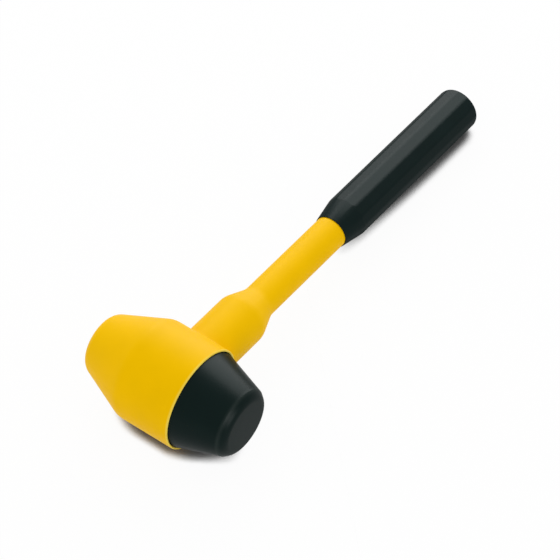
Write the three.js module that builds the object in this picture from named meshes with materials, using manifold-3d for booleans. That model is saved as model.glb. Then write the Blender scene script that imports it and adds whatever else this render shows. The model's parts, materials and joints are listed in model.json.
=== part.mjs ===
// A dead-blow mallet: a yellow jacket moulded over a steel canister of loose shot and over a steel handle rod,
// with a black face that screws onto a stud in the front of the head and a black grip on the handle.
// Millimetres, +Z up. The mallet lies on a table: +X runs along the handle and the black face looks to -Y.
import * as THREE from 'three';
import { mergeVertices } from 'three/addons/utils/BufferGeometryUtils.js';
import Module from 'manifold-3d';

const wasm = await Module();
wasm.setup();

// Fits
const CLEARANCE = 0.3;
const FACE_GAP = 0.35;
const THREAD_GAP = 0.35;

// Head, with lengths from the handle's axis along the head's axis
const BARREL_DIAMETER = 74.3;
const BARREL_REAR_LENGTH = 21.6;
const REAR_TAPER_LENGTH = 39.9;
const REAR_FACE_DIAMETER = 40.6;
const REAR_TAPER_BLEND = 15;
const REAR_EDGE_RADIUS = 9.8;
const RIM_EDGE_RADIUS = 0.6;
const RIM_WALL = 1.3;
const RIM_LAND = 1;
const RECESS_DEPTH = 3;
const JACKET_WALL = 4.5;
const REAR_WALL = 14;

// Neck and shaft, with lengths from the head's axis along the handle
const NECK_DIAMETER = 37.6;
const NECK_LENGTH = 74.4;
const NECK_TAPER_LENGTH = 17.4;
const NECK_BLEND = 17;
const NECK_FILLET = 2.6;
const SHAFT_DIAMETER = 24.4;
const HANDLE_LENGTH = 334.1;

// Grip
const GRIP_DIAMETER = 32.2;
const GRIP_LENGTH = 157.9;
const GRIP_TAPER_LENGTH = 18.5;
const GRIP_BLEND = 13;
const GRIP_MOUTH_WALL = 0.3;
const GRIP_END_WALL = 6;
const GRIP_END_RADIUS = 3.3;

// Screw-on face
const FACE_LENGTH = 36.6;
const FACE_CREST_DIAMETER = 50.4;
const FACE_CREST_RADIUS = 1.5;
const FACE_CROWN_HEIGHT = 4.9;
const FACE_FLAT_DIAMETER = 42.6;
const FACE_CROWN_BLEND = 9;
const FACE_BASE_RADIUS = 0.8;

// Steel fittings of the face
const STUD_DIAMETER = 12;
const STUD_PROJECTION = 18;
const STUD_HEAD_WIDTH = 18;
const STUD_HEAD_HEIGHT = 5;
const STUD_SEAT_THICKNESS = 2.6;
const STUD_TIP_ROOM = 1;
const STUD_TIP_CHAMFER = 1;
const INSERT_WALL = 2.2;
const INSERT_FLANGE_OVERLAP = 3.2;
const INSERT_FLANGE_THICKNESS = 4;
const WASHER_WIDTH = 3.2;
const WASHER_THICKNESS = 2.5;

// Canister and its shot
const TUBE_WALL = 2;
const REAR_PLUG_THICKNESS = 4;
const SHOT_DIAMETER = 9;
const SHOT_LAYERS = 4;
const SHOT_ROWS = 3;
const SHOT_FIRST_ROW = 2;

// Core of the handle
const ROD_DIAMETER = 14;
const ROD_CHAMFER = 1;
const SOCKET_WALL = 4;
const PIN_DIAMETER = 5;
const PIN_INSET = 10;

// Fineness of the facets
const HEAD_SIDES = 64;
const HANDLE_SIDES = 48;
const CORE_SIDES = 32;
const PIN_SIDES = 16;
const HEX_SIDES = 6;
const SHOT_DETAIL = 1;
const FILLET_STEPS = 4;
const ARC_STEP = THREE.MathUtils.degToRad(18);
const CUT_OVERRUN = 1;
const FILLET_SINK = 0.1;
const FILLET_ROOT = 8;

// Radii that several pieces share
const barrelRadius = BARREL_DIAMETER / 2;
const neckRadius = NECK_DIAMETER / 2;
const shaftRadius = SHAFT_DIAMETER / 2;
const gripRadius = GRIP_DIAMETER / 2;
const rodRadius = ROD_DIAMETER / 2;
const studRadius = STUD_DIAMETER / 2;
const pinRadius = PIN_DIAMETER / 2;
const recessRadius = barrelRadius - RIM_WALL;
const socketRadius = rodRadius + CLEARANCE + SOCKET_WALL;
const threadBoreRadius = studRadius + THREAD_GAP;
const insertRadius = threadBoreRadius + INSERT_WALL;
const washerRadius = insertRadius + CLEARANCE + WASHER_WIDTH;
const facePocketRadius = washerRadius + CLEARANCE;
const flangeRadius = facePocketRadius + INSERT_FLANGE_OVERLAP;

// Places along the head, the black face at the negative end
const rimY = -(neckRadius + NECK_FILLET + RIM_LAND);
const floorY = rimY + RECESS_DEPTH;
const faceBaseY = floorY - CLEARANCE;
const faceEndY = rimY - FACE_LENGTH;
const flangeBackY = faceBaseY - WASHER_THICKNESS - CLEARANCE;
const flangeFrontY = flangeBackY - INSERT_FLANGE_THICKNESS;
const studTipY = floorY - STUD_PROJECTION;
const insertBoreEndY = studTipY - STUD_TIP_ROOM;
const insertEndY = insertBoreEndY - INSERT_WALL;
const rearY = BARREL_REAR_LENGTH + REAR_TAPER_LENGTH;
const canisterRearY = rearY - REAR_WALL;
const studSeatY = floorY + STUD_SEAT_THICKNESS;
const frontPlugY = studSeatY + STUD_HEAD_HEIGHT + 2 * CLEARANCE;
const rearPlugY = canisterRearY - REAR_PLUG_THICKNESS;

// The rear taper, and the canister that leaves the jacket's wall inside it
const taperAngle = Math.atan2(barrelRadius - REAR_FACE_DIAMETER / 2, REAR_TAPER_LENGTH);
const taperBlendY = BARREL_REAR_LENGTH - REAR_TAPER_BLEND * Math.tan(taperAngle / 2);
const taperRadiusAtCanister = barrelRadius - (canisterRearY - BARREL_REAR_LENGTH) * Math.tan(taperAngle);
const canisterRadius = taperRadiusAtCanister - JACKET_WALL / Math.cos(taperAngle);
const tubeBoreRadius = canisterRadius - TUBE_WALL;

// Places along the handle
const rodStartX = canisterRadius + 2 * CLEARANCE;
const shaftEndX = HANDLE_LENGTH - GRIP_END_WALL - CLEARANCE;
const gripStartX = HANDLE_LENGTH - GRIP_LENGTH;
const pinPlacesX = [canisterRadius + PIN_INSET, NECK_LENGTH - PIN_INSET];

// On the table the barrel and the rounded end of the grip both touch, so the handle dips by this angle
const endCornerX = HANDLE_LENGTH - GRIP_END_RADIUS;
const endCornerZ = gripRadius - GRIP_END_RADIUS;
const lieAngle = Math.asin((barrelRadius - GRIP_END_RADIUS) / Math.hypot(endCornerX, endCornerZ))
  - Math.atan2(endCornerZ, endCornerX);

// An outline from corners [radius, along, round], where a corner with a round becomes an arc of that radius.
// An arc takes at most half of each side that it joins.
function outline(corners) {
  const at = (index) => new THREE.Vector2(corners[index][0], corners[index][1]);
  const points = [];
  corners.forEach(([, , round], index) => {
    if (!round) {
      points.push(at(index));
      return;
    }
    const back = at(index - 1).sub(at(index));
    const ahead = at(index + 1).sub(at(index));
    const room = Math.min(back.length(), ahead.length()) / 2;
    const halfAngle = back.normalize().angleTo(ahead.normalize()) / 2;
    const reach = Math.min(round / Math.tan(halfAngle), room);
    const radius = reach * Math.tan(halfAngle);
    const middle = back.clone().add(ahead).normalize();
    const centre = at(index).addScaledVector(middle, radius / Math.sin(halfAngle));
    const start = at(index).addScaledVector(back, reach).sub(centre).angle();
    const turn = Math.sign(ahead.cross(back)) * (Math.PI - 2 * halfAngle);
    const steps = Math.max(2, Math.ceil(Math.abs(turn) / ARC_STEP));
    const arc = new THREE.ArcCurve(centre.x, centre.y, radius, start, start + turn, turn < 0);
    points.push(...arc.getPoints(steps));
  });
  return points;
}

// One closed skin: only positions, shared corners merged, and no triangle that has collapsed at a pole.
function sealed(geometry) {
  geometry.deleteAttribute('normal');
  geometry.deleteAttribute('uv');
  const merged = mergeVertices(geometry);
  const kept = [];
  for (let corner = 0; corner < merged.index.count; corner += 3) {
    const triangle = [0, 1, 2].map((step) => merged.index.getX(corner + step));
    if (new Set(triangle).size === triangle.length) {
      kept.push(...triangle);
    }
  }
  merged.setIndex(kept);
  merged.computeVertexNormals();
  return merged;
}

// A solid turned about the head's axis, Y.
function turned(corners, sides, start = 0) {
  return sealed(new THREE.LatheGeometry(outline(corners), sides, start));
}

// A solid turned about the handle's axis, X.
function turnedAlongHandle(corners, sides) {
  return turned(corners, sides).rotateZ(-Math.PI / 2);
}

// A plain round bar about the head's axis.
function bar(radius, fromY, toY, sides) {
  return turned([[0, fromY], [radius, fromY], [radius, toY], [0, toY]], sides);
}

// A plain round bar about the handle's axis.
function barAlongHandle(radius, fromX, toX, sides) {
  return bar(radius, fromX, toX, sides).rotateZ(-Math.PI / 2);
}

function solidOf(geometry) {
  return new wasm.Manifold(new wasm.Mesh({
    numProp: 3,
    vertProperties: Float32Array.from(geometry.attributes.position.array),
    triVerts: Uint32Array.from(geometry.index.array),
  }));
}

function geometryOf(solid) {
  const { vertProperties, triVerts } = solid.getMesh();
  const geometry = new THREE.BufferGeometry();
  geometry.setAttribute('position', new THREE.BufferAttribute(vertProperties, 3));
  geometry.setIndex(new THREE.BufferAttribute(triVerts, 1));
  geometry.computeVertexNormals();
  return geometry;
}

function joined(...geometries) {
  return geometryOf(geometries.map(solidOf).reduce((whole, next) => whole.add(next)));
}

function cut(body, ...tools) {
  return geometryOf(tools.map(solidOf).reduce((rest, tool) => rest.subtract(tool), solidOf(body)));
}

// Outer form of the head: rim, straight barrel, soft corner, rear taper and rear face.
function headForm() {
  return turned([
    [0, rimY],
    [barrelRadius, rimY, RIM_EDGE_RADIUS],
    [barrelRadius, BARREL_REAR_LENGTH, REAR_TAPER_BLEND],
    [REAR_FACE_DIAMETER / 2, rearY, REAR_EDGE_RADIUS],
    [0, rearY],
  ], HEAD_SIDES, -lieAngle);
}

// Outer form of the neck, its taper and the shaft.
function handleForm() {
  return turnedAlongHandle([
    [0, 0],
    [neckRadius, 0],
    [neckRadius, NECK_LENGTH, NECK_BLEND],
    [shaftRadius, NECK_LENGTH + NECK_TAPER_LENGTH, NECK_BLEND],
    [shaftRadius, shaftEndX],
    [0, shaftEndX],
  ], HANDLE_SIDES);
}

// A ball as large as the neck's fillet rolls on the head: its centre's distance from the head's axis, and the
// slope of the head's outline under it, at a place along the head.
function ballOnHead(y) {
  const reach = REAR_TAPER_BLEND + NECK_FILLET;
  const turn = THREE.MathUtils.clamp((y - taperBlendY) / reach, 0, Math.sin(taperAngle));
  const slope = Math.asin(turn);
  const pastBlend = Math.max(0, y - taperBlendY - reach * Math.sin(taperAngle));
  const radius = barrelRadius - REAR_TAPER_BLEND + reach * Math.cos(slope) - pastBlend * Math.tan(taperAngle);
  return { radius, slope };
}

// Section of the neck's fillet at an angle around the neck: the ball's arc from neck to head, closed inside both.
function filletSection(angle) {
  const outward = new THREE.Vector3(0, Math.cos(angle), Math.sin(angle));
  const centre = outward.clone().multiplyScalar(neckRadius + NECK_FILLET);
  const { radius, slope } = ballOnHead(centre.y);
  centre.x = Math.sqrt(radius ** 2 - centre.z ** 2);
  const toNeck = outward.clone().negate();
  const inwardOnHead = -Math.cos(slope) / radius;
  const toHead = new THREE.Vector3(centre.x * inwardOnHead, -Math.sin(slope), centre.z * inwardOnHead);
  const opening = toNeck.angleTo(toHead);
  const section = [];
  for (let step = 0; step <= FILLET_STEPS; step += 1) {
    const share = step / FILLET_STEPS;
    const ray = toNeck.clone().multiplyScalar(Math.sin((1 - share) * opening))
      .addScaledVector(toHead, Math.sin(share * opening))
      .divideScalar(Math.sin(opening));
    section.push(centre.clone().addScaledVector(ray, NECK_FILLET + FILLET_SINK));
  }
  section.push(centre.clone().addScaledVector(toHead, FILLET_ROOT));
  section.push(centre.clone().addScaledVector(toNeck, FILLET_ROOT));
  return section;
}

// The fillet as a ring of those sections around the neck.
function neckFillet() {
  const sections = [];
  for (let side = 0; side < HANDLE_SIDES; side += 1) {
    sections.push(filletSection(side / HANDLE_SIDES * 2 * Math.PI));
  }
  const size = sections[0].length;
  const index = [];
  for (let side = 0; side < HANDLE_SIDES; side += 1) {
    const row = side * size;
    const nextRow = (side + 1) % HANDLE_SIDES * size;
    for (let step = 0; step < size; step += 1) {
      const next = (step + 1) % size;
      index.push(row + step, row + next, nextRow + step);
      index.push(nextRow + step, row + next, nextRow + next);
    }
  }
  const geometry = new THREE.BufferGeometry().setFromPoints(sections.flat());
  geometry.setIndex(index);
  return geometry;
}

// The yellow moulding, hollow for the canister, the socket and the rod, and recessed for the face.
function jacket() {
  return cut(
    joined(headForm(), handleForm(), neckFillet()),
    bar(recessRadius, rimY - CUT_OVERRUN, floorY, HEAD_SIDES),
    bar(canisterRadius + CLEARANCE, floorY - CUT_OVERRUN, canisterRearY + CLEARANCE, HEAD_SIDES),
    barAlongHandle(socketRadius + CLEARANCE, 0, NECK_LENGTH + CLEARANCE, CORE_SIDES),
    barAlongHandle(rodRadius + CLEARANCE, 0, shaftEndX + CUT_OVERRUN, CORE_SIDES),
  );
}

// The black tip: a cone with a crowned end, hollow for its steel insert and open towards the washer.
function strikeFace() {
  const baseRadius = recessRadius - FACE_GAP;
  return turned([
    [0, faceEndY],
    [FACE_FLAT_DIAMETER / 2, faceEndY, FACE_CROWN_BLEND],
    [FACE_CREST_DIAMETER / 2, faceEndY + FACE_CROWN_HEIGHT, FACE_CREST_RADIUS],
    [baseRadius, rimY],
    [baseRadius, faceBaseY, FACE_BASE_RADIUS],
    [facePocketRadius, faceBaseY],
    [facePocketRadius, flangeBackY + CLEARANCE],
    [flangeRadius + CLEARANCE, flangeBackY + CLEARANCE],
    [flangeRadius + CLEARANCE, flangeFrontY - CLEARANCE],
    [insertRadius + CLEARANCE, flangeFrontY - CLEARANCE],
    [insertRadius + CLEARANCE, insertEndY - CLEARANCE],
    [0, insertEndY - CLEARANCE],
  ], HEAD_SIDES);
}

// The bush in the tip: a blind thread bore, a flange behind the rubber and a spigot that carries the washer.
function faceInsert() {
  const spigotEndY = faceBaseY - CLEARANCE;
  return turned([
    [0, insertEndY],
    [insertRadius, insertEndY],
    [insertRadius, flangeFrontY],
    [flangeRadius, flangeFrontY],
    [flangeRadius, flangeBackY],
    [insertRadius, flangeBackY],
    [insertRadius, spigotEndY],
    [threadBoreRadius, spigotEndY],
    [threadBoreRadius, insertBoreEndY],
    [0, insertBoreEndY],
  ], CORE_SIDES);
}

// A ring about the head's axis.
function ring(innerRadius, outerRadius, fromY, toY, sides) {
  return turned([
    [innerRadius, fromY],
    [outerRadius, fromY],
    [outerRadius, toY],
    [innerRadius, toY],
    [innerRadius, fromY],
  ], sides);
}

function faceLockWasher() {
  return ring(insertRadius + CLEARANCE, washerRadius, faceBaseY - WASHER_THICKNESS, faceBaseY, CORE_SIDES);
}

// The stud: its hex head lies in the front plug and its shank stands out of the recess.
function faceStud() {
  const headY = studSeatY + CLEARANCE;
  const shank = turned([
    [0, studTipY],
    [studRadius - STUD_TIP_CHAMFER, studTipY],
    [studRadius, studTipY + STUD_TIP_CHAMFER],
    [studRadius, headY + STUD_HEAD_HEIGHT / 2],
    [0, headY + STUD_HEAD_HEIGHT / 2],
  ], CORE_SIDES);
  const hexRadius = STUD_HEAD_WIDTH / Math.sqrt(3);
  return joined(shank, bar(hexRadius, headY, headY + STUD_HEAD_HEIGHT, HEX_SIDES));
}

function canisterTube() {
  return ring(tubeBoreRadius, canisterRadius, floorY, canisterRearY, HANDLE_SIDES);
}

// The front plug, with a hole for the stud's shank and a counterbore for its head.
function canisterFrontPlug() {
  const plugRadius = tubeBoreRadius - CLEARANCE;
  const holeRadius = studRadius + CLEARANCE;
  const counterboreRadius = STUD_HEAD_WIDTH / Math.sqrt(3) + CLEARANCE;
  return turned([
    [holeRadius, floorY],
    [plugRadius, floorY],
    [plugRadius, frontPlugY],
    [counterboreRadius, frontPlugY],
    [counterboreRadius, studSeatY],
    [holeRadius, studSeatY],
    [holeRadius, floorY],
  ], HANDLE_SIDES);
}

function canisterRearPlug() {
  return bar(tubeBoreRadius - CLEARANCE, rearPlugY, canisterRearY, HANDLE_SIDES);
}

// Half the length of a cross pin whose ends stay inside the socket's round.
const pinHalfLength = Math.sqrt(socketRadius ** 2 - pinRadius ** 2);

// Bars along the two cross pins, to make the pins or to cut their holes.
function pinBars(radius, halfLength) {
  return pinPlacesX.map((x) => bar(radius, -halfLength, halfLength, PIN_SIDES).translate(x, 0, 0));
}

function pinHoles() {
  return pinBars(pinRadius + CLEARANCE, socketRadius + CUT_OVERRUN);
}

// The socket: a tube with a saddle end that fits the canister.
function neckSocket() {
  const tube = ring(rodRadius + CLEARANCE, socketRadius, 0, NECK_LENGTH, CORE_SIDES).rotateZ(-Math.PI / 2);
  const saddle = bar(canisterRadius + CLEARANCE, -barrelRadius, barrelRadius, HEAD_SIDES);
  return cut(tube, saddle, ...pinHoles());
}

function handleRod() {
  const rod = turnedAlongHandle([
    [0, rodStartX],
    [rodRadius - ROD_CHAMFER, rodStartX],
    [rodRadius, rodStartX + ROD_CHAMFER],
    [rodRadius, shaftEndX - ROD_CHAMFER],
    [rodRadius - ROD_CHAMFER, shaftEndX],
    [0, shaftEndX],
  ], CORE_SIDES);
  return cut(rod, ...pinHoles());
}

// The grip: a sleeve with a tapered mouth and a closed, rounded end.
function grip() {
  const boreRadius = shaftRadius + CLEARANCE;
  const boreEndX = shaftEndX + CLEARANCE;
  return turnedAlongHandle([
    [0, boreEndX],
    [boreRadius, boreEndX],
    [boreRadius, gripStartX],
    [boreRadius + GRIP_MOUTH_WALL, gripStartX],
    [gripRadius, gripStartX + GRIP_TAPER_LENGTH, GRIP_BLEND],
    [gripRadius, HANDLE_LENGTH, GRIP_END_RADIUS],
    [0, HANDLE_LENGTH],
  ], HANDLE_SIDES);
}

// Ball centres of one layer of the settled charge: nested rows that widen upwards from the tube's floor.
function shotLayer() {
  const pitch = SHOT_DIAMETER + CLEARANCE;
  const reach = tubeBoreRadius - CLEARANCE - SHOT_DIAMETER / 2;
  const halfRow = (SHOT_FIRST_ROW - 1) / 2 * pitch;
  const floorZ = -Math.sqrt(reach ** 2 - halfRow ** 2);
  const centres = [];
  for (let row = 0; row < SHOT_ROWS; row += 1) {
    const count = SHOT_FIRST_ROW + row;
    const z = floorZ + row * pitch * Math.sin(Math.PI / 3);
    for (let ball = 0; ball < count; ball += 1) {
      const x = (ball - (count - 1) / 2) * pitch;
      if (Math.hypot(x, z) <= reach + CLEARANCE / 2) {
        centres.push([x, z]);
      }
    }
  }
  return centres;
}

// The whole charge, level on the table and midway between the plugs.
function shotCharge() {
  const charge = new THREE.Group();
  charge.rotation.y = -lieAngle;
  charge.position.y = (frontPlugY + rearPlugY) / 2;
  const pitch = SHOT_DIAMETER + CLEARANCE;
  for (let layer = 0; layer < SHOT_LAYERS; layer += 1) {
    const y = (layer - (SHOT_LAYERS - 1) / 2) * pitch;
    shotLayer().forEach(([x, z]) => {
      const number = String(charge.children.length + 1).padStart(2, '0');
      const ball = piece(`shot_${number}`, shotBall(), steel(0x8d9196));
      ball.position.set(x, y, z);
      charge.add(ball);
    });
  }
  return charge;
}

function shotBall() {
  return sealed(new THREE.IcosahedronGeometry(SHOT_DIAMETER / 2, SHOT_DETAIL));
}

// Materials
function yellowPlastic() {
  return new THREE.MeshStandardMaterial({ color: 0xf0b90a, roughness: 0.42, metalness: 0 });
}

function blackRubber() {
  return new THREE.MeshStandardMaterial({ color: 0x171b1c, roughness: 0.48, metalness: 0 });
}

function steel(color) {
  return new THREE.MeshStandardMaterial({ color, roughness: 0.35, metalness: 1 });
}

function piece(name, geometry, material) {
  const mesh = new THREE.Mesh(geometry, material);
  mesh.name = name;
  return mesh;
}

const lying = new THREE.Group();
lying.rotation.y = lieAngle;
lying.add(
  piece('jacket', jacket(), yellowPlastic()),
  piece('strike_face', strikeFace(), blackRubber()),
  piece('face_insert', faceInsert(), steel(0xa7a9a6)),
  piece('face_lock_washer', faceLockWasher(), steel(0xb4b6b8)),
  piece('face_stud', faceStud(), steel(0x9a9c9e)),
  piece('canister_tube', canisterTube(), steel(0x83878b)),
  piece('canister_front_plug', canisterFrontPlug(), steel(0x83878b)),
  piece('canister_rear_plug', canisterRearPlug(), steel(0x83878b)),
  piece('neck_socket', neckSocket(), steel(0x83878b)),
  piece('handle_rod', handleRod(), steel(0x777b80)),
  piece('grip', grip(), blackRubber()),
  shotCharge(),
);
pinBars(pinRadius, pinHalfLength).forEach((geometry, index) => {
  lying.add(piece(['socket_pin_inner', 'socket_pin_outer'][index], geometry, steel(0xb4b6b8)));
});

// Stand the whole on the table with the origin under the middle of its box.
const mallet = new THREE.Group();
mallet.add(lying);
const box = new THREE.Box3().setFromObject(mallet, true);
const middle = box.getCenter(new THREE.Vector3());
lying.position.set(-middle.x, -middle.y, -box.min.z);

export default mallet;
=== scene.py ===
"""Looks of a dead-blow mallet: a yellow moulded head and handle, a black screw-on face and a black grip.

The smooth skins are worked out from the mallet's sizes in its own frame, where X runs along the handle,
Y along the head with the black face at the negative end, and both axes cross at the origin. They are then
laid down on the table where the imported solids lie.
"""

import json
import math
from types import SimpleNamespace

import bmesh
import bpy
import numpy as np
from bpy.props import FloatProperty, FloatVectorProperty, IntProperty, PointerProperty
from bpy.types import NodeSocket, Operator, Panel, PropertyGroup
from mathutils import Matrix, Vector


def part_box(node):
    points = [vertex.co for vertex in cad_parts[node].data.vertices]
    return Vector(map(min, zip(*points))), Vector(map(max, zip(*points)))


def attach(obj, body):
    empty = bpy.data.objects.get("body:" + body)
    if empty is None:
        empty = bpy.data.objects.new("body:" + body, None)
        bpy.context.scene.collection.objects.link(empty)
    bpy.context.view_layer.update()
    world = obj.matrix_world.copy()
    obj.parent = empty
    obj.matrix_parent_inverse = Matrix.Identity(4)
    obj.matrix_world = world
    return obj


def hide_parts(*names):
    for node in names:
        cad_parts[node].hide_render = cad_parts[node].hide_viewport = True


bl_info = {
    "name": "Dead-blow mallet",
    "version": (1, 0, 0),
    "blender": (4, 5, 0),
    "location": "View3D > Sidebar > Mallet",
    "description": "Builds the visible skin of a dead-blow mallet around its packed solids",
    "category": "Object",
}

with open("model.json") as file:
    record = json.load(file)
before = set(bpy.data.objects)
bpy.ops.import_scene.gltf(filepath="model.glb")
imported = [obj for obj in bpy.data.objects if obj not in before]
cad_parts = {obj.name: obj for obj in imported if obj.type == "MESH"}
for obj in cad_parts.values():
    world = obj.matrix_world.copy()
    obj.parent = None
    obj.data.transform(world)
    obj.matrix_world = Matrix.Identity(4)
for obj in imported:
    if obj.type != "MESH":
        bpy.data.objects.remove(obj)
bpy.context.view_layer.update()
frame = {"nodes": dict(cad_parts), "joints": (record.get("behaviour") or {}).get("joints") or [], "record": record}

MM = 0.001

# Fineness of the surfaces
COLUMNS = 192
GRIP_COLUMNS = 288
FITTING_COLUMNS = 96
HALF_PATCH = 22
PATCH_ROWS = 40
PATCH_RINGS = 10
FILLET_STEPS = 10
NECK_ROWS = 6
THREAD_ROWS = 14
BALL_COLUMNS = 24
BALL_ROWS = 16
ARC_STEP = math.radians(4)
SHARP_ANGLE = math.radians(28)
WELD = 1e-6

# Room that the grids leave round the jacket's joint of head and handle
REAR_ROOM = 8 * MM
BORE_ROOM = 5 * MM
NECK_ROOM = 6 * MM

# Share of the pitch that the root, the crest and each flank of the stud's thread take
THREAD_SHARE = 0.25

# Dips of a cast ball, as a share of its radius, and their count round it
BALL_DIP = 0.01
BALL_WAVES = 3

# How far the painted highlight along an edge reaches, its strength on the edge, and what it adds to the colour
RIM_HIGHLIGHT_REACH = 1.6 * MM
CREST_HIGHLIGHT_REACH = 1.8 * MM
HIGHLIGHT_STRENGTH = 1.6
RIM_HIGHLIGHT_TINT = (0.0, 0.2, 0.12)
CREST_HIGHLIGHT_TINT = (0.012, 0.014, 0.013)

# Specular level of the black rubber where it faces the eye
RUBBER_SHEEN = 0.085

# Half the floor's width in metres, and how far the dark contact shadow reaches on it
FLOOR_HALF = 12.0
CONTACT_SHADOW = 14 * MM

# Strength of the plain white world
WORLD_STRENGTH = 0.83

# Lamps: name, direction from the mallet, metres away, metres wide, watts, whether in reflections only
LAMPS = (
    ("key", (0.65, 0.47, 0.58), 1.6, 1.1, 6.5, False),
    ("sheen_card", (0.78, 0.3, 0.55), 1.3, 1.6, 41, True),
    ("edge_card", (-0.35, -0.8, 0.4), 1.5, 0.7, 9, True),
)

# Camera fitted to the photo's outline, with lengths in metres or in pixels of the frame
FRAME_PIXELS = 560
SENSOR_MM = 36.0
CAMERA_AZIMUTH = math.radians(-53.446)
CAMERA_ELEVATION = math.radians(50.475)
CAMERA_DISTANCE = 2.2
FOCAL_PIXELS = 3227.9
AIM_FROM_HEAD = np.array((0.12, 0.0, -0.01215))
OFFSET_PIXELS = (2.5, 2.96)


def linear(hex_colour):
    """Turns an sRGB hex colour into linear red, green and blue."""
    srgb = np.array([int(hex_colour[i:i + 2], 16) for i in (1, 3, 5)]) / 255
    return tuple(np.where(srgb <= 0.04045, srgb / 12.92, ((srgb + 0.055) / 1.055) ** 2.4))


def length(name, millimetres, description):
    """A length property whose default is given in millimetres."""
    return FloatProperty(name=name, description=description, default=millimetres * MM,
                         unit="LENGTH", subtype="DISTANCE", precision=5)


def colour(name, hex_colour, description):
    """A colour property whose default is given as sRGB hex."""
    return FloatVectorProperty(name=name, description=description, default=linear(hex_colour),
                               subtype="COLOR", min=0, max=1)


class MalletSizes(PropertyGroup):
    """Sizes of the mallet: those of its solids, and finer ones for the grip's flats and for small edges."""
    clearance: length("Clearance", 0.3, "Gap between fitted pieces")
    barrel_diameter: length("Barrel diameter", 74.3, "Straight part of the head")
    barrel_rear: length("Barrel rear", 21.6, "Handle axis to the corner of the rear taper")
    rear_taper: length("Rear taper", 39.9, "Length of the rear taper")
    rear_face: length("Rear face", 40.6, "Diameter of the rear face before its edge is rounded")
    rear_blend: length("Rear blend", 15, "Radius between barrel and rear taper")
    rear_edge: length("Rear edge", 9.8, "Radius round the rear face")
    rim_edge: length("Rim edge", 0.6, "Radius on the outside of the front rim")
    rim_inner_edge: length("Rim inner edge", 0.3, "Radius on the inside of the front rim")
    rim_wall: length("Rim wall", 1.3, "Thickness of the front rim")
    rim_land: length("Rim land", 1, "Barrel left between the neck's fillet and the rim")
    recess_depth: length("Recess depth", 3, "Depth of the recess behind the rim")
    jacket_wall: length("Jacket wall", 4.5, "Jacket over the canister's rear corner")
    rear_wall: length("Rear wall", 14, "Jacket behind the canister")
    neck_diameter: length("Neck diameter", 37.6, "Thick part of the handle at the head")
    neck_length: length("Neck length", 74.4, "Head axis to the neck's taper")
    neck_taper: length("Neck taper", 17.4, "Length of the neck's taper")
    neck_blend: length("Neck blend", 17, "Radius at both ends of the neck's taper")
    neck_fillet: length("Neck fillet", 2.6, "Radius where the neck meets the head")
    shaft_diameter: length("Shaft diameter", 24.4, "Bare part of the handle")
    handle_length: length("Handle length", 334.1, "Head axis to the butt")
    grip_diameter: length("Grip diameter", 32.2, "Straight part of the grip over its corners")
    grip_flats: length("Grip flats", 31.5, "Straight part of the grip across two flats")
    grip_corner: length("Grip corner", 5, "Radius between two flats of the grip")
    grip_sides: IntProperty(name="Grip sides", description="Flats round the grip", default=12, min=3)
    grip_turn: FloatProperty(name="Grip turn", description="Angle of one corner from the head's rear",
                             default=math.radians(23.5), unit="ROTATION", subtype="ANGLE")
    grip_length: length("Grip length", 157.9, "Whole length of the grip")
    grip_taper: length("Grip taper", 18.5, "Tapered mouth of the grip")
    grip_blend: length("Grip blend", 13, "Radius between the grip and its taper")
    grip_mouth: length("Grip mouth", 0.3, "Wall of the grip at its mouth")
    grip_mouth_edge: length("Grip mouth edge", 0.15, "Radius on the edge of the grip's mouth")
    grip_end_wall: length("Grip end wall", 6, "Thickness of the closed end")
    grip_end_edge: length("Grip end edge", 3.3, "Radius round the butt")
    face_gap: length("Face gap", 0.35, "Gap between the face and the rim")
    face_length: length("Face length", 36.6, "Face in front of the rim")
    face_crest: length("Face crest", 50.4, "Diameter of the crest round the striking end")
    face_crest_edge: length("Face crest edge", 1.5, "Radius on the crest")
    face_crown: length("Face crown", 4.9, "Height of the crown in front of the crest")
    face_flat: length("Face flat", 42.6, "Diameter of the flat striking end")
    face_flat_edge: length("Face flat edge", 9, "Radius between crown and flat")
    face_base_edge: length("Face base edge", 0.8, "Radius round the face's base")
    stud_diameter: length("Stud diameter", 12, "Outside of the stud's thread")
    stud_projection: length("Stud projection", 18, "Stud in front of the recess floor")
    stud_head_width: length("Stud head width", 18, "Hex head across its flats")
    stud_head_height: length("Stud head height", 5, "Height of the hex head")
    stud_seat: length("Stud seat", 2.6, "Plug under the stud's head")
    stud_tip_room: length("Stud tip room", 1, "Room past the stud's tip in the insert")
    stud_chamfer: length("Stud chamfer", 1, "Chamfer on the stud's tip")
    thread_pitch: length("Thread pitch", 1.75, "Travel of the face in one turn")
    thread_depth: length("Thread depth", 0.9, "Depth of the stud's thread")
    thread_gap: length("Thread gap", 0.35, "Gap between stud and insert")
    insert_wall: length("Insert wall", 2.2, "Wall of the insert")
    insert_end_edge: length("Insert end edge", 0.5, "Radius round the insert's closed end")
    insert_mouth_edge: length("Insert mouth edge", 0.3, "Radius on both edges of the insert's mouth")
    flange_overlap: length("Flange overlap", 3.2, "Flange of the insert outside its pocket")
    flange_thickness: length("Flange thickness", 4, "Thickness of the insert's flange")
    flange_edge: length("Flange edge", 0.4, "Radius round the insert's flange")
    washer_width: length("Washer width", 3.2, "Width of the washer's ring")
    washer_thickness: length("Washer thickness", 2.5, "Thickness of the washer")
    washer_front_edge: length("Washer front edge", 0.5, "Radius round the washer's front")
    washer_back_edge: length("Washer back edge", 0.3, "Radius round the washer's back")
    rod_diameter: length("Rod diameter", 14, "Steel rod in the handle")
    socket_wall: length("Socket wall", 4, "Wall of the socket round the rod")
    shot_diameter: length("Shot diameter", 9, "Balls of the loose charge")


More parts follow.
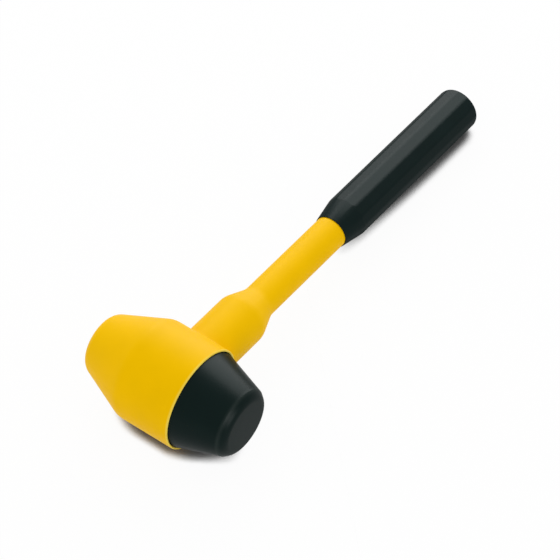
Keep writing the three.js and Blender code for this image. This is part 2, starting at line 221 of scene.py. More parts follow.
class MalletColours(PropertyGroup):
    """Colours of the mallet's materials."""
    yellow: colour("Yellow", "#F9C300", "Moulded jacket")
    face_black: colour("Face black", "#021614", "Moulded striking face")
    grip_black: colour("Grip black", "#021615", "Moulded grip")
    zinc: colour("Zinc", "#B9BCC0", "Plated fittings")
    steel: colour("Steel", "#8F9296", "Canister and socket")
    rod: colour("Rod", "#55585C", "Rolled rod")
    shot: colour("Shot", "#7E8286", "Cast shot")
    floor: colour("Floor", "#F9F9F9", "Plain floor")


def shapes(s):
    """Radii and places that several pieces share, from the sizes.

    Names ending in _y lie along the head and names ending in _x along the handle."""
    d = SimpleNamespace()
    d.barrel = s.barrel_diameter / 2
    d.neck = s.neck_diameter / 2
    d.shaft = s.shaft_diameter / 2
    d.grip = s.grip_diameter / 2
    d.recess = d.barrel - s.rim_wall
    d.rim_y = -(d.neck + s.neck_fillet + s.rim_land)
    d.floor_y = d.rim_y + s.recess_depth
    d.rear_y = s.barrel_rear + s.rear_taper
    d.taper = math.atan2(d.barrel - s.rear_face / 2, s.rear_taper)
    d.blend_y = s.barrel_rear - s.rear_blend * math.tan(d.taper / 2)
    d.canister_rear_y = d.rear_y - s.rear_wall
    taper_radius = d.barrel - (d.canister_rear_y - s.barrel_rear) * math.tan(d.taper)
    d.canister = taper_radius - s.jacket_wall / math.cos(d.taper)
    d.canister_bore = d.canister + s.clearance
    d.socket_bore = s.rod_diameter / 2 + s.socket_wall + 2 * s.clearance
    d.rod_bore = s.rod_diameter / 2 + s.clearance
    d.shaft_end_x = s.handle_length - s.grip_end_wall - s.clearance
    d.grip_start_x = s.handle_length - s.grip_length
    d.face_base_y = d.floor_y - s.clearance
    d.face_end_y = d.rim_y - s.face_length
    d.stud = s.stud_diameter / 2
    d.thread_bore = d.stud + s.thread_gap
    d.insert = d.thread_bore + s.insert_wall
    d.washer = d.insert + s.clearance + s.washer_width
    d.pocket = d.washer + s.clearance
    d.flange = d.pocket + s.flange_overlap
    d.flange_back_y = d.face_base_y - s.washer_thickness - s.clearance
    d.flange_front_y = d.flange_back_y - s.flange_thickness
    d.stud_tip_y = d.floor_y - s.stud_projection
    d.insert_bore_y = d.stud_tip_y - s.stud_tip_room
    d.insert_end_y = d.insert_bore_y - s.insert_wall
    d.stud_head_y = d.floor_y + s.stud_seat + s.clearance
    return d


def head_axis():
    """Where the head's axis crosses the handle's, from the face's screw joint."""
    turn = next(joint for joint in frame["joints"] if joint["name"] == "face_turn")
    return np.array(turn["pos_m"])


def lie_angle():
    """How far the handle dips on the table, from the butt's outward direction."""
    butt = next(mount for mount in frame["record"]["mounts"] if mount["name"] == "butt_end")
    return math.atan2(-butt["axis"][2], butt["axis"][0])


def laid_down(points):
    """Turns points of the mallet's own frame about Y by the lie angle and moves them to the head's axis."""
    angle = lie_angle()
    turn = np.array([
        [math.cos(angle), 0, math.sin(angle)],
        [0, 1, 0],
        [-math.sin(angle), 0, math.cos(angle)],
    ])
    return points @ turn.T + head_axis()


class Skin:
    """Collects grids of points, then welds them into one closed mesh."""

    def __init__(self):
        self.points = []
        self.quads = []
        self.count = 0

    def add(self, grid, closed=True):
        """Adds a grid of points with a quad in each of its cells, round to the first column where closed."""
        rows, columns = grid.shape[:2]
        index = self.count + np.arange(rows * columns).reshape(rows, columns)
        if closed:
            index = np.hstack([index, index[:, :1]])
        cells = [index[:-1, :-1], index[:-1, 1:], index[1:, 1:], index[1:, :-1]]
        self.quads.append(np.stack(cells, -1).reshape(-1, 4))
        self.points.append(grid.reshape(-1, 3))
        self.count += rows * columns
        return self

    def build(self, name, place=laid_down):
        """Welds points that coincide, drops sides that collapse at poles and returns the placed object."""
        points = np.concatenate(self.points)
        keys = np.round(points / WELD).astype(np.int64)
        _, first, merged = np.unique(keys, axis=0, return_index=True, return_inverse=True)
        quads = merged.reshape(-1)[np.concatenate(self.quads)]
        collapsed = quads == np.roll(quads, -1, axis=1)
        whole = quads[~collapsed.any(1)]
        halved = collapsed.sum(1) == 1
        triangles = quads[halved][~collapsed[halved]].reshape(-1, 3)
        mesh = bpy.data.meshes.new(name)
        mesh.from_pydata(place(points[first]), [], whole.tolist() + triangles.tolist())
        shell = bmesh.new()
        shell.from_mesh(mesh)
        bmesh.ops.recalc_face_normals(shell, faces=shell.faces)
        shell.to_mesh(mesh)
        shell.free()
        mesh.shade_smooth()
        mesh.set_sharp_from_angle(angle=SHARP_ANGLE)
        piece = bpy.data.objects.new(name, mesh)
        bpy.context.scene.collection.objects.link(piece)
        return piece


def outline(corners):
    """Rows (radius, along) of a line through corners (radius, along, round).

    A corner with a round becomes an arc that touches both of its sides, with at most half of either."""
    corners = [(*corner, 0.0)[:3] for corner in corners]
    rows = []
    for i, (radius, along, bend) in enumerate(corners):
        here = np.array((radius, along))
        if not bend:
            rows.append(here[None])
            continue
        back = np.subtract(corners[i - 1][:2], here)
        ahead = np.subtract(corners[i + 1][:2], here)
        room = min(np.hypot(*back), np.hypot(*ahead)) / 2
        back = back / np.hypot(*back)
        ahead = ahead / np.hypot(*ahead)
        half = math.acos(back @ ahead) / 2
        reach = min(bend / math.tan(half), room)
        middle = (back + ahead) / np.hypot(*(back + ahead))
        centre = here + middle * reach / math.cos(half)
        start = here + back * reach - centre
        side = here + ahead * reach - centre
        turn = math.copysign(math.pi - 2 * half, start[0] * side[1] - start[1] * side[0])
        angle = np.linspace(0, turn, max(3, 1 + math.ceil(abs(turn) / ARC_STEP)))[:, None]
        rows.append(centre + np.cos(angle) * start + np.sin(angle) * np.array((-start[1], start[0])))
    return np.concatenate(rows)


def turned(rows, angles):
    """Surface of revolution about the head: (r cos a, y, r sin a) for rows (r, y)."""
    radius, along = rows[:, :1], rows[:, 1:]
    return np.stack(np.broadcast_arrays(radius * np.cos(angles), along, radius * np.sin(angles)), -1)


def turned_along_handle(rows, angles, most=np.inf):
    """Surface about the handle: (x, r cos a, r sin a) for rows (r, x), with r at most a limit by angle."""
    radius, along = np.minimum(rows[:, :1], most), rows[:, 1:]
    return np.stack(np.broadcast_arrays(along, radius * np.cos(angles), radius * np.sin(angles)), -1)


def round_angles(count=COLUMNS):
    """Evenly spaced angles round a full turn."""
    return np.arange(count) * 2 * math.pi / count


def tee(offset, front, rear, branch, fillet):
    """A surface of revolution about Y between front and rear, with a round branch along X filleted onto it.

    offset(y, distance) gives the radius of the main surface moved out by a distance, and its slope. A ball
    of the fillet's radius rolls round the branch: its centre is at (branch + fillet) from the branch's axis
    and on the moved main surface. The fillet is the ball's arc between its two touching points, and a patch
    runs from its foot to a border of the main grid, straight in the surface's own coordinates y and angle."""
    step = 2 * math.pi / COLUMNS
    along = np.linspace(front, rear, PATCH_ROWS + 1)

    def on_main(y, angle):
        radius = offset(y, 0.0)[0]
        return np.stack(np.broadcast_arrays(radius * np.cos(angle), y, radius * np.sin(angle)), -1)

    band = on_main(along[:, None], np.arange(HALF_PATCH, COLUMNS - HALF_PATCH + 1) * step)
    edge = np.arange(HALF_PATCH + 1) * step
    side = np.full(PATCH_ROWS - 1, edge[-1])
    border_angle = np.concatenate([edge, side, edge[::-1], -edge[1:], -side, -edge[:0:-1]])
    border_y = np.concatenate([
        np.full(HALF_PATCH + 1, rear), along[-2:0:-1], np.full(2 * HALF_PATCH + 1, front),
        along[1:-1], np.full(HALF_PATCH, rear),
    ])
    border = on_main(border_y, border_angle)
    turn = np.unwrap(np.arctan2(border[:, 2], border[:, 1]))

    centre_y = (branch + fillet) * np.cos(turn)
    centre_z = (branch + fillet) * np.sin(turn)
    radius, slope = offset(centre_y, fillet)
    centre_x = np.sqrt(radius ** 2 - centre_z ** 2)
    centre = np.stack([centre_x, centre_y, centre_z], -1)
    to_branch = np.stack([np.zeros_like(turn), -np.cos(turn), -np.sin(turn)], -1)
    inward = -np.cos(slope) / radius
    to_main = np.stack([centre_x * inward, -np.sin(slope), centre_z * inward], -1)
    foot = centre + fillet * to_main

    share = np.linspace(0, 1, PATCH_RINGS + 1)[:, None]
    foot_angle = np.arctan2(foot[:, 2], foot[:, 0])
    patch = on_main(foot[:, 1] + share * (border_y - foot[:, 1]),
                    foot_angle + share * (border_angle - foot_angle))

    opening = np.arccos(np.clip((to_branch * to_main).sum(-1), -1, 1))[None, :, None]
    part = np.linspace(0, 1, FILLET_STEPS + 1)[:, None, None]
    ray = np.sin((1 - part) * opening) * to_main + np.sin(part * opening) * to_branch
    arc = centre + fillet * ray / np.sin(opening)
    return SimpleNamespace(band=band, patch=patch, arc=arc, turn=turn, lip=arc[-1])


def jacket_skin(s):
    """The jacket: head and handle joined by a fillet outside, and the bores for its steel core inside."""
    d = shapes(s)
    around = round_angles()

    def head(y, distance):
        reach = s.rear_blend + distance
        turn = np.clip((y - d.blend_y) / reach, 0, math.sin(d.taper))
        past = np.maximum(0, y - d.blend_y - reach * math.sin(d.taper))
        slope = np.arcsin(turn)
        return d.barrel - s.rear_blend + reach * np.cos(slope) - past * math.tan(d.taper), slope

    def bore(y, distance):
        return np.full_like(y, d.canister_bore + distance), np.zeros_like(y)

    rear_patch_y = d.neck + s.neck_fillet + REAR_ROOM
    outer = tee(head, d.rim_y + s.rim_edge, rear_patch_y, d.neck, s.neck_fillet)
    bore_patch_y = d.socket_bore + BORE_ROOM
    inner = tee(bore, -bore_patch_y, bore_patch_y, d.socket_bore, 0.0)

    skin = Skin()
    skin.add(outer.band, closed=False).add(outer.patch).add(outer.arc)
    skin.add(inner.band, closed=False).add(inner.patch)

    rear_start = head(np.array(rear_patch_y), 0.0)[0]
    skin.add(turned(outline([
        (rear_start, rear_patch_y), (s.rear_face / 2, d.rear_y, s.rear_edge), (0, d.rear_y),
    ]), around))
    skin.add(turned(outline([
        (d.barrel, d.rim_y + 2 * s.rim_edge),
        (d.barrel, d.rim_y, s.rim_edge),
        (d.recess, d.rim_y, s.rim_inner_edge),
        (d.recess, d.floor_y),
        (d.canister_bore, d.floor_y),
        (d.canister_bore, -bore_patch_y),
    ])[1:], around))
    skin.add(turned(outline([
        (d.canister_bore, bore_patch_y),
        (d.canister_bore, d.canister_rear_y + s.clearance),
        (0, d.canister_rear_y + s.clearance),
    ]), around))

    neck_start_x = d.barrel + s.neck_fillet + NECK_ROOM
    share = np.linspace(0, 1, NECK_ROWS + 1)[:, None]
    neck = np.repeat(outer.lip[None], NECK_ROWS + 1, axis=0)
    neck[..., 0] += share * (neck_start_x - outer.lip[:, 0])
    skin.add(neck)
    skin.add(turned_along_handle(outline([
        (d.neck, neck_start_x),
        (d.neck, s.neck_length, s.neck_blend),
        (d.shaft, s.neck_length + s.neck_taper, s.neck_blend),
        (d.shaft, d.shaft_end_x),
    ]), outer.turn))
    core = turned_along_handle(outline([
        (d.rod_bore, d.shaft_end_x),
        (d.rod_bore, s.neck_length + s.clearance),
        (d.socket_bore, s.neck_length + s.clearance),
    ]), inner.turn)
    shaft_end = turned_along_handle(np.array([(d.shaft, d.shaft_end_x)]), outer.turn)
    skin.add(np.concatenate([shaft_end, core, inner.lip[None]]))
    return skin


def face_skin(s):
    """The striking face turned about the head: crown, crest, cone and base, hollow for its insert."""
    d = shapes(s)
    base = d.recess - s.face_gap
    return Skin().add(turned(outline([
        (0, d.face_end_y),
        (s.face_flat / 2, d.face_end_y, s.face_flat_edge),
        (s.face_crest / 2, d.face_end_y + s.face_crown, s.face_crest_edge),
        (base, d.rim_y),
        (base, d.face_base_y, s.face_base_edge),
        (d.pocket, d.face_base_y),
        (d.pocket, d.flange_back_y + s.clearance),
        (d.flange + s.clearance, d.flange_back_y + s.clearance),
        (d.flange + s.clearance, d.flange_front_y - s.clearance),
        (d.insert + s.clearance, d.flange_front_y - s.clearance),
        (d.insert + s.clearance, d.insert_end_y - s.clearance),
        (0, d.insert_end_y - s.clearance),
    ]), round_angles()))


def insert_skin(s):
    """The bush turned about the head: closed end, flange, spigot and blind bore."""
    d = shapes(s)
    spigot_y = d.face_base_y - s.clearance
    return Skin().add(turned(outline([
        (0, d.insert_end_y),
        (d.insert, d.insert_end_y, s.insert_end_edge),
        (d.insert, d.flange_front_y),
        (d.flange, d.flange_front_y, s.flange_edge),
        (d.flange, d.flange_back_y, s.flange_edge),
        (d.insert, d.flange_back_y),
        (d.insert, spigot_y, s.insert_mouth_edge),
        (d.thread_bore, spigot_y, s.insert_mouth_edge),
        (d.thread_bore, d.insert_bore_y),
        (0, d.insert_bore_y),
    ]), round_angles(FITTING_COLUMNS)))


def washer_skin(s):
    """The washer: a ring turned about the head, with its two outer edges rounded."""
    d = shapes(s)
    inner = d.insert + s.clearance
    back, front = d.face_base_y, d.face_base_y - s.washer_thickness
    return Skin().add(turned(outline([
        (inner, (back + front) / 2),
        (inner, front),
        (d.washer, front, s.washer_front_edge),
        (d.washer, back, s.washer_back_edge),
        (inner, back),
        (inner, (back + front) / 2),
    ]), round_angles(FITTING_COLUMNS)))


def stud_skin(s):
    """The stud about the head: a hex head, then a shank with its thread.

    The head's radius is half its width over the cosine of the angle from the nearest flat's middle. The
    shank's radius falls by the thread's depth along a helix, in a groove with straight flanks."""
    d = shapes(s)
    angles = round_angles(FITTING_COLUMNS)
    head_back = d.stud_head_y + s.stud_head_height
    sector = math.pi / 3
    hex_radius = s.stud_head_width / 2 / np.cos((angles + sector / 2) % sector - sector / 2)
    rows = 1 + round(s.stud_projection / s.thread_pitch * THREAD_ROWS)
    shank = np.linspace(d.stud_tip_y, d.floor_y, rows)[:, None]
    phase = (shank / s.thread_pitch + angles / (2 * math.pi)) % 1
    half_groove = 1.5 * THREAD_SHARE
    groove = s.thread_depth * np.clip((half_groove - np.abs(phase - 0.5)) / THREAD_SHARE, 0, 1)
    chamfer = np.clip(s.stud_chamfer - (shank - d.stud_tip_y), 0, None)
    shank_radius = np.minimum(d.stud - groove, d.stud - chamfer)
    plain = np.full_like(angles, d.stud)
    centre = np.zeros_like(angles)
    radius = np.vstack([centre, shank_radius, plain, plain, hex_radius, hex_radius, centre])
    plain_ends = [d.floor_y + s.thread_pitch, d.stud_head_y]
    head_ends = [d.stud_head_y, head_back, head_back]
    heights = np.concatenate([[d.stud_tip_y], shank[:, 0], plain_ends, head_ends])
    along = np.broadcast_to(heights[:, None], radius.shape)
    return Skin().add(np.stack([radius * np.cos(angles), along, radius * np.sin(angles)], -1))


def soft_polygon(angles, sides, half_width, corner, turn):
    """Radius by angle of an even polygon with rounded corners, one of them at the angle turn.

    On a side it is the half width over the cosine of the angle from the side's middle, and near a corner the
    far crossing of the ray with the corner's circle."""
    half = math.pi / sides
    off_middle = np.abs((angles - turn) % (2 * half) - half)
    off_corner = half - off_middle
    centre = (half_width - corner) / math.cos(half)
    round_part = centre * np.cos(off_corner) + np.sqrt(corner ** 2 - (centre * np.sin(off_corner)) ** 2)
    on_side = off_middle < math.atan2(centre * math.sin(half), half_width)
    return np.where(on_side, half_width / np.cos(off_middle), round_part)


def grip_skin(s):
    """The grip about the handle: bore, tapered round mouth, a sleeve of soft flats and a rounded butt.

    Its radius is the smaller of a turned outline and a polygon with rounded corners."""
    d = shapes(s)
    bore = d.shaft + s.clearance
    bore_end = d.shaft_end_x + s.clearance
    rows = outline([
        (0, bore_end),
        (bore, bore_end),
        (bore, d.grip_start_x),
        (bore + s.grip_mouth, d.grip_start_x, s.grip_mouth_edge),
        (d.grip, d.grip_start_x + s.grip_taper, s.grip_blend),
        (d.grip, s.handle_length, s.grip_end_edge),
        (0, s.handle_length),
    ])
    angles = round_angles(GRIP_COLUMNS)
    flats = soft_polygon(angles, s.grip_sides, s.grip_flats / 2, s.grip_corner, s.grip_turn)
    return Skin().add(turned_along_handle(rows, angles, flats))


def shot_ball(name, centre, radius):
    """A cast ball about its centre: a sphere by latitude and longitude whose radius dips in a few waves.

    The dip is half of one plus the waves' sine round the ball, which fades towards both poles, times its
    share of the radius. The ball's place along X shifts the waves from ball to ball."""
    tilt = np.linspace(0, math.pi, BALL_ROWS + 1)[:, None]
    turn = round_angles(BALL_COLUMNS)
    waves = np.sin(BALL_WAVES * turn + centre.x / MM) * np.sin(tilt) ** BALL_WAVES
    out = radius * (1 - BALL_DIP * (1 + waves) / 2)
    flat = out * np.sin(tilt)
    ball = np.stack([flat * np.cos(turn), flat * np.sin(turn), out * np.cos(tilt)], -1)
    return Skin().add(ball).build(name, lambda points: points + np.array(centre))


def add(tree, kind, inputs=(), **settings):
    """Adds a node with its settings, and gives each named input a value or a link from a socket."""
    made = tree.nodes.new(kind)
    for key, value in settings.items():
        setattr(made, key, value)
    for key, value in dict(inputs).items():
        if isinstance(value, NodeSocket):
            tree.links.new(value, made.inputs[key])
        else:
            made.inputs[key].default_value = value
    return made


def fresh_material(name):
    """A new material with an empty node tree and the Object coordinates of its piece."""
    material = bpy.data.materials.new(name)
    material.use_nodes = True
    tree = material.node_tree
    tree.nodes.clear()
    return material, tree, add(tree, "ShaderNodeTexCoord").outputs["Object"]


def per_metre(millimetres):
    """Scale of a noise whose grains are that wide."""
    return 1 / (millimetres * MM)


def tinted(tree, factor, base, low, high):
    """The base colour times a grey that runs from low to high with the factor."""
    shade = add(tree, "ShaderNodeMapRange", {"Value": factor, "To Min": low, "To Max": high})
    return add(tree, "ShaderNodeVectorMath", {0: (*base,), "Scale": shade.outputs["Result"]},
               operation="SCALE").outputs["Vector"]


def with_painted_highlight(tree, place, patchy, base, edge_y, reach, pale):
    """The base colour with a painted highlight added along an edge round the head, patchy and fading away from it.
    """
    along = add(tree, "ShaderNodeSeparateXYZ", {"Vector": place}).outputs["Y"]
    past = add(tree, "ShaderNodeMath", {0: along, 1: edge_y}, operation="SUBTRACT").outputs["Value"]
    away = add(tree, "ShaderNodeMath", {0: past}, operation="ABSOLUTE").outputs["Value"]
    near = add(tree, "ShaderNodeMapRange", {
        "Value": away, "From Max": reach, "To Min": HIGHLIGHT_STRENGTH, "To Max": 0.0,
    })
    painted_highlight = add(tree, "ShaderNodeMath", {0: near.outputs["Result"], 1: patchy}, operation="MULTIPLY")
    return add(tree, "ShaderNodeVectorMath", {0: pale, 1: painted_highlight.outputs["Value"], 2: base},
               operation="MULTIPLY_ADD").outputs["Vector"]


def moulded_polyurethane(colours, rim_y):
    """Yellow polyurethane, cast in a metal mould.

    To the eye it is a satin, slightly wavy skin with a faint orange peel, a slow mottle in its colour, almost
    no white shine, and a painted highlight, a paler line along the front rim."""
    material, tree, place = fresh_material("yellow_polyurethane_moulded")
    cloud = add(tree, "ShaderNodeTexNoise", {"Vector": place, "Scale": per_metre(24), "Detail": 4.0})
    # Real orange peel is finer than this: it is drawn coarser so that the picture can show it
    peel = add(tree, "ShaderNodeTexNoise", {"Vector": place, "Scale": per_metre(1.6), "Detail": 2.0})
    wave = add(tree, "ShaderNodeTexNoise", {"Vector": place, "Scale": per_metre(25), "Detail": 1.0})
    gloss = add(tree, "ShaderNodeMapRange", {"Value": cloud.outputs["Fac"], "To Min": 0.40, "To Max": 0.50})
    fine = add(tree, "ShaderNodeBump", {
        "Height": peel.outputs["Fac"], "Strength": 0.12, "Distance": 0.15 * MM,
    })
    slow = add(tree, "ShaderNodeBump", {
        "Height": wave.outputs["Fac"], "Strength": 0.15, "Distance": 0.6 * MM,
        "Normal": fine.outputs["Normal"],
    })
    skin = tinted(tree, cloud.outputs["Fac"], colours.yellow, 0.94, 1.06)
    # The rim's paler line is a painted highlight, added to the base colour
    shader = add(tree, "ShaderNodeBsdfPrincipled", {
        "Base Color": with_painted_highlight(tree, place, cloud.outputs["Fac"], skin, rim_y, RIM_HIGHLIGHT_REACH, RIM_HIGHLIGHT_TINT),
        "Roughness": gloss.outputs["Result"], "IOR": 1.5, "Specular IOR Level": 0.04,
        "Specular Tint": (1.0, 0.85, 0.2, 1.0), "Normal": slow.outputs["Normal"],
    })
    add(tree, "ShaderNodeOutputMaterial", {"Surface": shader.outputs["BSDF"]})
    return material


def moulded_rubber(name, base, rough_low, rough_high, slant_sheen, crest_y=None):
    """Black rubber from a finely blasted mould.

    To the eye it has a dull sheen that fades at a slant, a fine grain and a faint cloudy bloom, and where
    crest_y is given, a painted highlight, a paler line along the crest."""
    material, tree, place = fresh_material(name)
    bloom = add(tree, "ShaderNodeTexNoise", {"Vector": place, "Scale": per_metre(18), "Detail": 4.0})
    # A blasted grain is finer than this: it is drawn coarser so that the picture can show it
    grain = add(tree, "ShaderNodeTexNoise", {"Vector": place, "Scale": per_metre(0.9), "Detail": 3.0})
    gloss = add(tree, "ShaderNodeMapRange", {
        "Value": bloom.outputs["Fac"], "To Min": rough_low, "To Max": rough_high,
    })
    bump = add(tree, "ShaderNodeBump", {
        "Height": grain.outputs["Fac"], "Strength": 0.2, "Distance": 0.12 * MM,
    })
    slant = add(tree, "ShaderNodeLayerWeight", {"Blend": 0.5}).outputs["Facing"]
    sheen = add(tree, "ShaderNodeMapRange", {
        "Value": slant, "From Min": 0.2, "From Max": 0.72, "To Min": RUBBER_SHEEN, "To Max": slant_sheen,
    })
    skin = tinted(tree, bloom.outputs["Fac"], base, 0.85, 1.15)
    # The crest's paler line is a painted highlight, added to the base colour
    if crest_y is not None:
        skin = with_painted_highlight(tree, place, bloom.outputs["Fac"], skin, crest_y, CREST_HIGHLIGHT_REACH, CREST_HIGHLIGHT_TINT)
    shader = add(tree, "ShaderNodeBsdfPrincipled", {
        "Base Color": skin,
        "Roughness": gloss.outputs["Result"], "IOR": 1.5, "Specular IOR Level": sheen.outputs["Result"],
        "Normal": bump.outputs["Normal"],
    })
    add(tree, "ShaderNodeOutputMaterial", {"Surface": shader.outputs["BSDF"]})
    return material


def metal(name, base, rough_low, rough_high, grain_mm, dark):
    """Plated, drawn, rolled or tumbled steel.

    To the eye it has a mottled gloss whose dull patches are darker."""
    material, tree, place = fresh_material(name)
    mottle = add(tree, "ShaderNodeTexNoise", {"Vector": place, "Scale": per_metre(grain_mm), "Detail": 5.0})
    gloss = add(tree, "ShaderNodeMapRange", {
        "Value": mottle.outputs["Fac"], "To Min": rough_high, "To Max": rough_low,
    })
    bump = add(tree, "ShaderNodeBump", {
        "Height": mottle.outputs["Fac"], "Strength": 0.1, "Distance": 0.1 * MM,
    })
    shader = add(tree, "ShaderNodeBsdfPrincipled", {
        "Base Color": tinted(tree, mottle.outputs["Fac"], base, dark, 1.05),
        "Roughness": gloss.outputs["Result"], "Metallic": 1.0, "Normal": bump.outputs["Normal"],
    })
    add(tree, "ShaderNodeOutputMaterial", {"Surface": shader.outputs["BSDF"]})
    return material


def settle(piece, material, body, slot, *nodes):
    """Gives a piece its material and body, and lets it stand for its solids."""
    piece.data.materials.clear()
    piece.data.materials.append(material)
    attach(piece, body)
    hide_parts(*nodes)


def dress(node, material):
    """Gives a solid that stays in the scene its material."""
    solid = frame["nodes"][node]
    solid.data.materials.clear()
    solid.data.materials.append(material)


class MALLET_OT_jacket(Operator):
    """Make the yellow jacket of head, neck and shaft"""
    bl_idname = "mallet.jacket"
    bl_label = "Jacket"

    def execute(self, context):
        sizes = context.scene.mallet_sizes
        piece = jacket_skin(sizes).build("jacket_skin")
        rim_y = head_axis()[1] + shapes(sizes).rim_y
        material = moulded_polyurethane(context.scene.mallet_colours, rim_y)
        settle(piece, material, "mallet", "yellow_polyurethane", "jacket")
        return {"FINISHED"}


class MALLET_OT_grip(Operator):
    """Make the black grip"""
    bl_idname = "mallet.grip"
    bl_label = "Grip"

    def execute(self, context):
        piece = grip_skin(context.scene.mallet_sizes).build("grip_sleeve")
        black = context.scene.mallet_colours.grip_black
        material = moulded_rubber("black_grip_rubber_moulded", black,
                                  rough_low=0.32, rough_high=0.4, slant_sheen=0.006)
        settle(piece, material, "mallet", "grip_rubber", "grip")
        return {"FINISHED"}


class MALLET_OT_face(Operator):
    """Make the screw-on face with its insert, washer and stud"""
    bl_idname = "mallet.face"
    bl_label = "Face"

    def execute(self, context):
        sizes = context.scene.mallet_sizes
        colours = context.scene.mallet_colours
        crest_y = head_axis()[1] + shapes(sizes).face_end_y + sizes.face_crown
        rubber = moulded_rubber("black_face_rubber_moulded", colours.face_black,
                                rough_low=0.32, rough_high=0.4, slant_sheen=0.022, crest_y=crest_y)
        # Bright plating with a few duller patches
        zinc = metal("zinc_plated_steel", colours.zinc, rough_low=0.25, rough_high=0.4, grain_mm=3, dark=0.8)
        tip = face_skin(sizes).build("face_tip")
        bush = insert_skin(sizes).build("face_bush")
        washer = washer_skin(sizes).build("face_washer_ring")
        stud = stud_skin(sizes).build("face_stud_threaded")
        settle(tip, rubber, "face", "face_rubber", "strike_face")
        settle(bush, zinc, "face", "fitting_steel", "face_insert")
        settle(washer, zinc, "face_washer", "zinc_steel", "face_lock_washer")
        settle(stud, zinc, "mallet", "zinc_steel", "face_stud")
        return {"FINISHED"}


class MALLET_OT_shot(Operator):
    """Make the loose steel balls of the charge"""
    bl_idname = "mallet.shot"
    bl_label = "Shot"

    def execute(self, context):
        sizes = context.scene.mallet_sizes
        grey = context.scene.mallet_colours.shot
        # Grey balls with dark, dull specks
        material = metal("cast_steel_shot", grey, rough_low=0.3, rough_high=0.5, grain_mm=2, dark=0.6)
        for name in sorted(node for node in frame["nodes"] if node.startswith("shot_")):
            low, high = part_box(name)
            ball = shot_ball(name + "_ball", (low + high) / 2, sizes.shot_diameter / 2)
            settle(ball, material, "shot_charge", "shot_steel", name)
        return {"FINISHED"}


class MALLET_OT_core(Operator):
    """Dress the steel canister, socket, rod and pins inside"""
    bl_idname = "mallet.core"
    bl_label = "Steel core"

    def execute(self, context):
        colours = context.scene.mallet_colours
        # Smooth mid grey with broad soft patches
        drawn = metal("drawn_steel_tube", colours.steel, rough_low=0.3, rough_high=0.5, grain_mm=6, dark=0.75)
        # Dark, dull grey with blotches of scale
        rolled = metal("hot_rolled_steel_rod", colours.rod,
                       rough_low=0.45, rough_high=0.65, grain_mm=4, dark=0.6)
        # The brightest and smoothest of the steels
        ground = metal("ground_steel_pin", colours.zinc, rough_low=0.2, rough_high=0.3, grain_mm=2, dark=0.85)
        for node in ("canister_tube", "canister_front_plug", "canister_rear_plug", "neck_socket"):
            dress(node, drawn)
        dress("handle_rod", rolled)
        for node in ("socket_pin_inner", "socket_pin_outer"):
            dress(node, ground)
        return {"FINISHED"}


def place_camera(scene):
    """Aims the camera at a point of the handle from the photograph's direction."""
    flat = math.cos(CAMERA_ELEVATION)
    rise = math.sin(CAMERA_ELEVATION)
    back = np.array((math.sin(CAMERA_AZIMUTH) * flat, -math.cos(CAMERA_AZIMUTH) * flat, rise))
    aim = head_axis() + AIM_FROM_HEAD
    data = bpy.data.cameras.new("camera")
    data.sensor_width = SENSOR_MM
    data.lens = FOCAL_PIXELS / FRAME_PIXELS * SENSOR_MM
    data.shift_x = -OFFSET_PIXELS[0] / FRAME_PIXELS
    data.shift_y = OFFSET_PIXELS[1] / FRAME_PIXELS
    camera = bpy.data.objects.new("camera", data)
    camera.location = aim + back * CAMERA_DISTANCE
    camera.rotation_euler = Vector(back).to_track_quat("Z", "Y").to_euler()
    scene.collection.objects.link(camera)
    scene.camera = camera


def soft_box(scene, name, toward, distance, size, watts, reflections_only):
    """A square area lamp that looks at the mallet from a direction, and may light its reflections only."""
    lamp = bpy.data.lights.new(name, "AREA")
    lamp.shape = "SQUARE"
    lamp.size = size
    lamp.energy = watts
    direction = Vector(toward).normalized()
    holder = bpy.data.objects.new(name, lamp)
    holder.location = direction * distance
    holder.rotation_euler = direction.to_track_quat("Z", "Y").to_euler()
    holder.visible_diffuse = not reflections_only
    scene.collection.objects.link(holder)


def seen_directly(tree):
    """One for rays from the camera, from a glossy surface or through glass, and nought for the rest."""
    path = add(tree, "ShaderNodeLightPath")
    either = add(tree, "ShaderNodeMath", {0: path.outputs["Is Camera Ray"], 1: path.outputs["Is Glossy Ray"]},
                 operation="MAXIMUM")
    return add(tree, "ShaderNodeMath", {0: either.outputs["Value"], 1: path.outputs["Is Transmission Ray"]},
               operation="MAXIMUM").outputs["Value"]


def pale_floor(colours):
    """A matt white studio sweep.

    To the eye it is plain white, with a dark contact shadow close to the mallet. Where a piece covers the
    sky over a point, within the shadow's reach, the paint darkens. Where the sky is open, a white glow
    takes over."""
    material, tree, _ = fresh_material("white_studio_floor")
    glow = add(tree, "ShaderNodeEmission", {"Color": (1, 1, 1, 1), "Strength": 1.0})
    free = add(tree, "ShaderNodeAmbientOcclusion", {"Distance": CONTACT_SHADOW}, samples=16).outputs["AO"]
    shade = add(tree, "ShaderNodeMapRange", {
        "Value": free, "From Min": 0.4, "From Max": 0.7, "To Min": 0.2, "To Max": 1.0,
    })
    paint = add(tree, "ShaderNodeVectorMath", {0: (*colours.floor,), "Scale": shade.outputs["Result"]},
                operation="SCALE")
    matt = add(tree, "ShaderNodeBsdfDiffuse", {"Color": paint.outputs["Vector"]})
    open_sky = add(tree, "ShaderNodeMapRange", {
        "Value": free, "From Min": 0.48, "From Max": 0.7, "To Min": 0.0, "To Max": 0.95,
    })
    share = add(tree, "ShaderNodeMath", {0: seen_directly(tree), 1: open_sky.outputs["Result"]},
                operation="MULTIPLY")
    mix = add(tree, "ShaderNodeMixShader", {
        0: share.outputs["Value"], 1: matt.outputs["BSDF"], 2: glow.outputs["Emission"],
    })
    add(tree, "ShaderNodeOutputMaterial", {"Surface": mix.outputs["Shader"]})
    return material


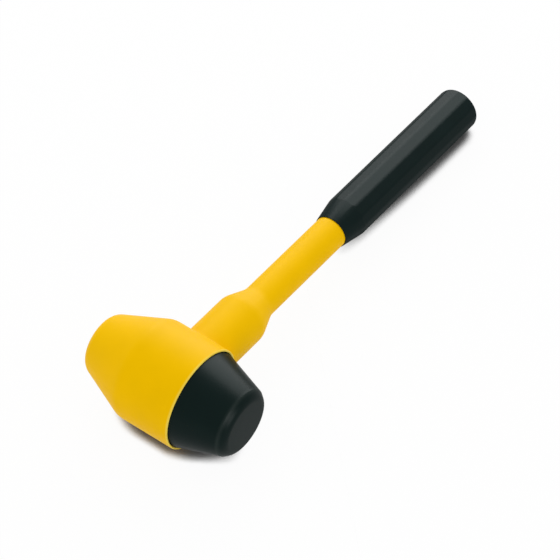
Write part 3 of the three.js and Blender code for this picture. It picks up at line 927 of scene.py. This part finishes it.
def studio_world(scene):
    """A plain white world that lights the mallet softly from all round."""
    world = bpy.data.worlds.new("studio")
    world.use_nodes = True
    tree = world.node_tree
    tree.nodes.clear()
    sky = add(tree, "ShaderNodeBackground", {"Color": (1, 1, 1, 1), "Strength": WORLD_STRENGTH})
    add(tree, "ShaderNodeOutputWorld", {"Surface": sky.outputs["Background"]})
    scene.world = world


class MALLET_OT_stage(Operator):
    """Make the floor, the lamps and the camera"""
    bl_idname = "mallet.stage"
    bl_label = "Stage"

    def execute(self, context):
        scene = context.scene
        corners = [(-FLOOR_HALF, -FLOOR_HALF, 0), (FLOOR_HALF, -FLOOR_HALF, 0),
                   (FLOOR_HALF, FLOOR_HALF, 0), (-FLOOR_HALF, FLOOR_HALF, 0)]
        mesh = bpy.data.meshes.new("floor")
        mesh.from_pydata(corners, [], [(0, 1, 2, 3)])
        mesh.materials.append(pale_floor(scene.mallet_colours))
        floor = bpy.data.objects.new("floor", mesh)
        scene.collection.objects.link(floor)
        studio_world(scene)
        for lamp in LAMPS:
            soft_box(scene, *lamp)
        place_camera(scene)
        scene.view_settings.view_transform = "Standard"
        return {"FINISHED"}


BUILDERS = (MALLET_OT_jacket, MALLET_OT_grip, MALLET_OT_face, MALLET_OT_shot, MALLET_OT_core, MALLET_OT_stage)


class MALLET_PT_build(Panel):
    """Buttons for the mallet's pieces"""
    bl_idname = "MALLET_PT_build"
    bl_label = "Mallet"
    bl_space_type = "VIEW_3D"
    bl_region_type = "UI"
    bl_category = "Mallet"

    def draw(self, context):
        for builder in BUILDERS:
            self.layout.operator(builder.bl_idname)


CLASSES = (MalletSizes, MalletColours, *BUILDERS, MALLET_PT_build)


def register():
    for part in CLASSES:
        bpy.utils.register_class(part)
    bpy.types.Scene.mallet_sizes = PointerProperty(type=MalletSizes)
    bpy.types.Scene.mallet_colours = PointerProperty(type=MalletColours)


def unregister():
    del bpy.types.Scene.mallet_colours
    del bpy.types.Scene.mallet_sizes
    for part in reversed(CLASSES):
        bpy.utils.unregister_class(part)


def main():
    """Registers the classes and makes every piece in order."""
    register()
    bpy.ops.mallet.jacket()
    bpy.ops.mallet.grip()
    bpy.ops.mallet.face()
    bpy.ops.mallet.shot()
    bpy.ops.mallet.core()
    bpy.ops.mallet.stage()


if __name__ == "__main__":
    main()
